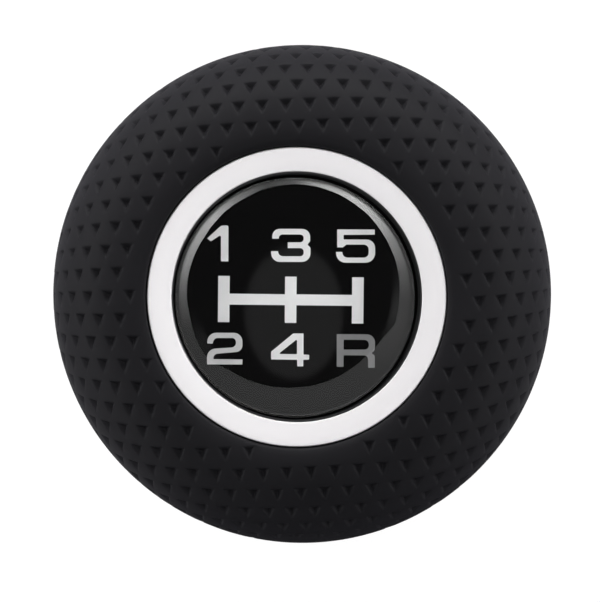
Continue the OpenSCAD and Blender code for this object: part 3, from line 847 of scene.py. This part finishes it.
class KNOB_OT_shift_print(KnobOperator, bpy.types.Operator):
    """Builds the numerals round the gate and finishes the gate"""

    bl_idname = "gear_knob.shift_print"
    bl_label = "Shift Print"

    def execute(self, context):
        emblem, colours = context.scene.knob_emblem, context.scene.knob_colours
        low, high = height_of("gate_marks")
        silver = print_finish("Silver_print", colours.silver)
        grey = print_finish("Dark_grey_print", colours.reverse)
        cos, sin = np.cos(emblem.print_turn), np.sin(emblem.print_turn)
        turn = np.array([[cos, sin], [-sin, cos]])
        for name, loops in NUMERALS.items():
            placed = []
            for loop in loops:
                data = np.array(loop, float) / 100
                corners = round_corners(data[:, :2], data[:, 2], 7)
                placed.append(corners @ turn + [emblem.print_shift / MM, -emblem.print_drop / MM])
            finish = grey if name == "reverse_mark" else silver
            add_piece(name, flat_mark(placed, low, high), finish)
        dress_node("gate_marks", silver)
        return {"FINISHED"}


class KNOB_OT_lens(KnobOperator, bpy.types.Operator):
    """Builds the clear domed lens"""

    bl_idname = "gear_knob.lens"
    bl_label = "Lens"

    def execute(self, context):
        sunk = 0.02
        low = height_of("lens_dome")[0] - sunk
        emblem = context.scene.knob_emblem
        profile = lens_profile(emblem, low)
        profile[4:, 1] += sunk
        points, faces = revolve(profile, 320)
        points[:, :2] += np.array(emblem.label_set) / MM
        add_piece("lens_cap", (points, faces), lens_finish(), ["lens_dome"])
        return {"FINISHED"}


class KNOB_OT_neck_collar(KnobOperator, bpy.types.Operator):
    """Builds the moulded neck collar with its groove"""

    bl_idname = "gear_knob.neck_collar"
    bl_label = "Neck Collar"

    def execute(self, context):
        head, socket = context.scene.knob_head, context.scene.knob_socket
        low, high = height_of("neck_collar")
        outer, inner = head.neck_d / MM / 2, head.neck_d / MM / 2 - head.cover_t / MM
        z, h, deep = socket.groove_z / MM, socket.groove_h / MM, socket.groove_deep / MM
        edge = socket.collar_edge / MM
        corners = [[inner, low], [outer, low], [outer, z], [outer - deep, z], [outer - deep, z + h],
                   [outer, z + h], [outer, high], [inner, high]]
        radii = [0.1, edge, 0.15, 0.25, 0.25, 0.15, edge, 0.1]
        plastic = smooth_finish("Moulded_collar_plastic", context.scene.knob_colours.plastic, 0.42,
                                grain_mm=0.22, depth_mm=0.01)
        add_piece("collar_ring", revolve(round_corners(corners, radii, 6), 192), plastic,
                  ["neck_collar"])
        return {"FINISHED"}


class KNOB_OT_lever_socket(KnobOperator, bpy.types.Operator):
    """Builds the threaded bush and finishes what holds it"""

    bl_idname = "gear_knob.lever_socket"
    bl_label = "Lever Socket"

    def execute(self, context):
        socket, colours = context.scene.knob_socket, context.scene.knob_colours
        brass = turned_finish("Turned_brass", colours.brass, 0.24)
        add_piece("bush_thread", threaded_bush(socket, *height_of("thread_bush")), brass,
                  ["thread_bush"])
        rubber = smooth_finish("Damping_rubber", (0.016, 0.016, 0.017), 0.7, depth_mm=0.012)
        for node in ("damping_sleeve", "stop_pad"):
            dress_node(node, rubber)
        dress_node("snap_ring", smooth_finish("Spring_steel", shade(colours.steel, 0.7), 0.34, 1.0))
        return {"FINISHED"}


class KNOB_OT_hidden_core(KnobOperator, bpy.types.Operator):
    """Finishes the core, its screws, the weight and the pads inside"""

    bl_idname = "gear_knob.hidden_core"
    bl_label = "Hidden Core"

    def execute(self, context):
        colours = context.scene.knob_colours
        core = smooth_finish("Core_nylon", shade(colours.plastic, 1.6), 0.5, grain_mm=0.4, depth_mm=0.01)
        steel = turned_finish("Bright_steel", colours.steel, 0.28)
        cast = smooth_finish("Cast_weight", shade(colours.steel, 0.8), 0.5, 1.0, 0.6, 0.03)
        foam = smooth_finish("Grey_foam", (0.09, 0.09, 0.095), 0.9, 0.0, 0.5, 0.12)
        tape = smooth_finish("Dark_tape", (0.03, 0.03, 0.03), 0.6, 0.0, 0.4, 0.02)
        finishes = {
            "core_cap": core, "core_body": core, "cap_screws": steel, "counterweight": cast,
            "foam_ring": foam, "emblem_pad": foam, "ring_tape": tape,
        }
        for node, finish in finishes.items():
            dress_node(node, finish)
        return {"FINISHED"}


# Studio

class StudioSettings(bpy.types.PropertyGroup):
    """Camera and light levels."""

    camera_distance: FloatProperty(name="Camera distance", default=1.2, unit="LENGTH",
                                   description="Distance from the camera to the widest line")
    picture_height: FloatProperty(name="Picture height", default=60.42 * MM, unit="LENGTH",
                                  description="Height of the picture at the widest line")
    lean_right: FloatProperty(name="Lean right", default=np.radians(3.3), subtype="ANGLE",
                              description="Lean of the camera towards +X from straight above")
    lean_up: FloatProperty(name="Lean up", default=np.radians(1.92), subtype="ANGLE",
                           description="Lean of the camera towards +Y from straight above")
    aim: FloatVectorProperty(name="Aim", default=(-0.000192, -0.000703, 0.044), size=3, subtype="XYZ",
                             description="Point that the camera aims at")
    boxes: FloatProperty(name="Soft boxes", default=1.0, description="Level of the soft boxes")
    ceiling: FloatProperty(name="Ceiling", default=2.3, description="Radiance of the rest of the ceiling")
    opening: FloatProperty(name="Opening", default=0.06,
                           description="Radiance of the opening round the camera")
    patch: FloatProperty(name="Opening patch", default=0.27,
                         description="Radiance of the pale figure in the opening")
    high_walls: FloatVectorProperty(name="High walls", default=(0.3, 0.15, 0.0, 0.15), size=4,
                                    description="Radiance towards +Y, -X, -Y and +X, well above the floor")
    low_walls: FloatVectorProperty(name="Low walls", default=(9.1, 4.9, 0.0, 4.5), size=4,
                                   description="Radiance towards +Y, -X, -Y and +X, near the floor")
    floor_glow: FloatProperty(name="Floor glow", default=1.06, description="Radiance of the floor as seen")
    fill: FloatProperty(name="Fill", default=0.02, description="Radiance of the surroundings")


def stage_mesh(name, points, faces, glow_levels, material):
    """A stage object, in metres, with a glow value at each point."""
    mesh = bpy.data.meshes.new(name)
    mesh.from_pydata(points, [], faces)
    mesh.attributes.new("glow", "FLOAT", "POINT").data.foreach_set("value", glow_levels)
    mesh.materials.append(material)
    mesh.shade_smooth()
    thing = bpy.data.objects.new(name, mesh)
    bpy.context.scene.collection.objects.link(thing)
    return thing


def glow(name, strength):
    """A light-giving stage material: its strength times the mesh's own glow values."""
    finish = Finish(name, Base_Color=(0, 0, 0), Roughness=1.0, Specular_IOR_Level=0.0,
                    Emission_Strength=strength)
    finish.set("Emission Color", finish.signal("ShaderNodeAttribute", {"attribute_name": "glow"}, {}, "Fac"))
    return finish.material


def upright_axes(towards):
    """Three unit vectors: to the right of, above and along a direction, with +Y as the upper side."""
    back = Vector(towards).normalized()
    right = Vector((0, 1, 0)).cross(back).normalized()
    return right, back.cross(right), back


def dome_patch(middle, inner, outer, level, distance=1.6, rings=24, columns=180):
    """Part of a sphere round the knob, at the polar angles inner to outer from the direction middle.

    Returns its points, its faces and the glow of each point, which is level(polar, turn) in degrees.
    """
    share = np.linspace(0, 1, rings)[:, None]
    polar = inner * (1 - share) + outer * share + np.zeros(columns)
    turn = np.linspace(-180, 180, columns) + 0 * polar
    p, a = np.radians(polar), np.radians(turn)
    local = np.stack([np.sin(p) * np.cos(a), np.sin(p) * np.sin(a), np.cos(p)], -1)
    points = local.reshape(-1, 3) @ np.array(upright_axes(middle)) * distance + [0, 0, 0.05]
    faces = grid_faces(rings, columns, wrap_columns=False)[:, ::-1]
    return points, faces.tolist(), level(polar, turn).ravel()


def bump_of(x, middle, width):
    """A smooth rise and fall round middle, one at its top."""
    return np.exp(-(((x - middle + 180) % 360 - 180) / width) ** 2)


def step_of(x, start, end):
    """A smooth step from zero at start to one at end."""
    t = np.clip((x - start) / (end - start), 0, 1)
    return t * t * (3 - 2 * t)


class KNOB_OT_stage(bpy.types.Operator):
    """Builds the studio: floor, lights, surroundings and camera"""

    bl_idname = "gear_knob.stage"
    bl_label = "Stage"

    def execute(self, context):
        scene = context.scene
        studio = scene.knob_studio
        scene.view_settings.view_transform = "Standard"
        towards = Vector((np.tan(studio.lean_right), np.tan(studio.lean_up), 1.0)).normalized()
        # Where the lens and ring mirror the camera to
        mirror = Vector((-0.0614, -0.0017, 1.0)).normalized()

        self.floor(scene, studio)
        self.lights(studio, mirror)
        self.world(scene, studio.fill)

        camera = bpy.data.cameras.new("camera")
        holder = bpy.data.objects.new("camera", camera)
        scene.collection.objects.link(holder)
        aim = Vector(studio.aim)
        holder.location = aim + towards * studio.camera_distance
        holder.rotation_euler = Matrix(upright_axes(towards)).transposed().to_euler()
        camera.sensor_fit = "VERTICAL"
        camera.sensor_height = 24.0
        camera.lens = camera.sensor_height * studio.camera_distance / studio.picture_height
        camera.clip_start, camera.clip_end = 0.01, 20.0
        scene.camera = holder
        return {"FINISHED"}

    @staticmethod
    def lights(studio, mirror):
        """Two soft boxes and a ceiling round a dark opening for the camera, and four walls."""
        around = [-180, -165, -150, -142, -128, -110, -90, -60, -45, -30, -20, 0, 30, 60, 90, 120, 150, 180]
        rim = [17.6, 17.75, 18.3, 18.5, 17.3, 16.9, 16.55, 16.42, 16.45, 16.9, 17.75, 17.5, 17.1, 16.9, 16.83,
               16.61, 16.76, 17.6]
        turns = [-180, -174, -159, -145, -49, -35, -20, -6, 9, 25, 40, 57, 73, 90, 106, 123, 139, 155, 171, 180]
        levels = [3.2, 2.2, 0.9, 0.8, 0.85, 1.05, 1.25, 1.2, 2.4, 5.4, 9.8, 13.0, 10.2, 2.3, 1.5, 4.5, 9.5, 7.6,
                  5.3, 3.2]

        def ceiling(polar, turn):
            boxes = (np.interp(turn, turns, levels) - 0.8) * (1 - step_of(polar, 18.0, 21.5))
            return 0.8 + studio.boxes * boxes + (studio.ceiling - 0.8) * step_of(polar, 22.0, 27.0)

        def opening(polar, turn):
            across, up = polar * np.cos(np.radians(turn)), polar * np.sin(np.radians(turn))
            away = np.hypot((across - 0.1) / 8.0, (up + 4.3) / 10.8)
            streaks = 0.2 * bump_of(turn, -147, 12) + 0.5 * bump_of(turn, -12, 14)
            return (studio.opening + studio.patch * (1 - step_of(away, 0.92, 1.08))
                    + streaks * step_of(polar, 16.3, 16.8))

        def walls(polar, turn):
            low = step_of(polar, 55.0, 80.0)
            total = 0
            for side, high_wall, low_wall in zip((90, 180, 270, 0), studio.high_walls, studio.low_walls):
                total = total + bump_of(turn, side, 50.0) * (low_wall * low + high_wall * (1 - low))
            return total * step_of(polar, 40.0, 50.0)

        rim = np.interp(np.linspace(-180, 180, 180), around, rim)
        ceiling_glow = glow("Ceiling_glow", 1.0)
        stage_mesh("ceiling", *dome_patch(mirror, rim, 42.0, ceiling, rings=36), ceiling_glow)
        stage_mesh("opening", *dome_patch(mirror, 0.3, rim, opening, rings=36), ceiling_glow)
        stage_mesh("walls", *dome_patch((0, 0, 1), 40.0, 92.0, walls), glow("Wall_glow", 1.0))

    @staticmethod
    def floor(scene, studio):
        """A wide floor. Seen directly or through glass it is near white, and it keeps the shadow."""
        finish = Finish("Studio_floor", Base_Color=tuple(scene.knob_colours.floor), Roughness=0.9,
                        Specular_IOR_Level=0.1)
        half = 6.0
        rays = finish.node("ShaderNodeLightPath", {}, {})
        seen = Signal(finish, rays.outputs["Is Camera Ray"]) + rays.outputs["Is Transmission Ray"]
        # Towards -Y the floor that the cover mirrors is dark
        x, y = finish.axes()[:2]
        along = (x * 0.122 - y * 0.993) / (x * x + y * y) ** 0.5
        lit = finish.signal("ShaderNodeMapRange", {"interpolation_type": "SMOOTHSTEP"}, {
            "Value": along, "From Min": 0.55, "From Max": 0.9, "To Min": 1.0, "To Max": 0.06})
        far = finish.blend(lit, (0, 0, 0), tuple(scene.knob_colours.floor_far))
        pale = finish.blend(finish.noise(40.0), shade(scene.knob_colours.floor, 0.99),
                            shade(scene.knob_colours.floor, 1.01))
        finish.set("Base Color", finish.blend(seen, far, pale))
        white = finish.node("ShaderNodeEmission", {}, {"Color": (1.0, 1.0, 1.0), "Strength": studio.floor_glow})
        mix = finish.node("ShaderNodeMixShader", {}, {
            0: seen * 0.75, 1: finish.shader.outputs[0], 2: white.outputs[0]})
        finish.tree.links.new(mix.outputs[0], finish.output.inputs["Surface"])
        points = [(-half, -half, 0), (half, -half, 0), (half, half, 0), (-half, half, 0)]
        stage_mesh("floor", points, [(0, 1, 2, 3)], [0.0] * 4, finish.material)

    @staticmethod
    def world(scene, fill):
        """Dim even surroundings that the camera sees as white."""
        world = bpy.data.worlds.new("Studio")
        scene.world = world
        world.use_nodes = True
        tree = world.node_tree
        tree.nodes.clear()
        rays = tree.nodes.new("ShaderNodeLightPath")
        white = tree.nodes.new("ShaderNodeBackground")
        white.inputs["Color"].default_value = (1, 1, 1, 1)
        dim = tree.nodes.new("ShaderNodeBackground")
        dim.inputs["Color"].default_value = (1, 1, 1, 1)
        dim.inputs["Strength"].default_value = fill
        mix = tree.nodes.new("ShaderNodeMixShader")
        output = tree.nodes.new("ShaderNodeOutputWorld")
        tree.links.new(rays.outputs["Is Camera Ray"], mix.inputs[0])
        tree.links.new(dim.outputs[0], mix.inputs[1])
        tree.links.new(white.outputs[0], mix.inputs[2])
        tree.links.new(mix.outputs[0], output.inputs["Surface"])


PIECE_OPERATORS = (
    KNOB_OT_grip_cover, KNOB_OT_trim_ring, KNOB_OT_emblem_plate, KNOB_OT_shift_print, KNOB_OT_lens,
    KNOB_OT_neck_collar, KNOB_OT_lever_socket, KNOB_OT_hidden_core, KNOB_OT_stage,
)


class KNOB_PT_panel(bpy.types.Panel):
    """Sizes, colours and steps of the gear shift knob"""

    bl_idname = "KNOB_PT_panel"
    bl_label = "Gear Shift Knob"
    bl_space_type = "VIEW_3D"
    bl_region_type = "UI"
    bl_category = "Gear Knob"

    def draw(self, context):
        for name in SETTINGS:
            box = self.layout.box()
            box.label(text=name.replace("knob_", "").capitalize())
            for key in type(getattr(context.scene, name)).__annotations__:
                box.prop(getattr(context.scene, name), key)
        for operator in PIECE_OPERATORS:
            self.layout.operator(operator.bl_idname)


SETTINGS = {
    "knob_head": KnobHeadSizes, "knob_pits": KnobPitSizes, "knob_emblem": KnobEmblemSizes,
    "knob_socket": KnobSocketSizes, "knob_colours": KnobColours, "knob_studio": StudioSettings,
}
CLASSES = (*SETTINGS.values(), *PIECE_OPERATORS, KNOB_PT_panel)


def register():
    for cls in CLASSES:
        bpy.utils.register_class(cls)
    for name, group in SETTINGS.items():
        setattr(bpy.types.Scene, name, PointerProperty(type=group))


def unregister():
    for name in SETTINGS:
        delattr(bpy.types.Scene, name)
    for cls in reversed(CLASSES):
        bpy.utils.unregister_class(cls)


def main():
    register()
    for operator in PIECE_OPERATORS:
        group, step = operator.bl_idname.split(".")
        getattr(getattr(bpy.ops, group), step)()


if __name__ == "__main__":
    main()
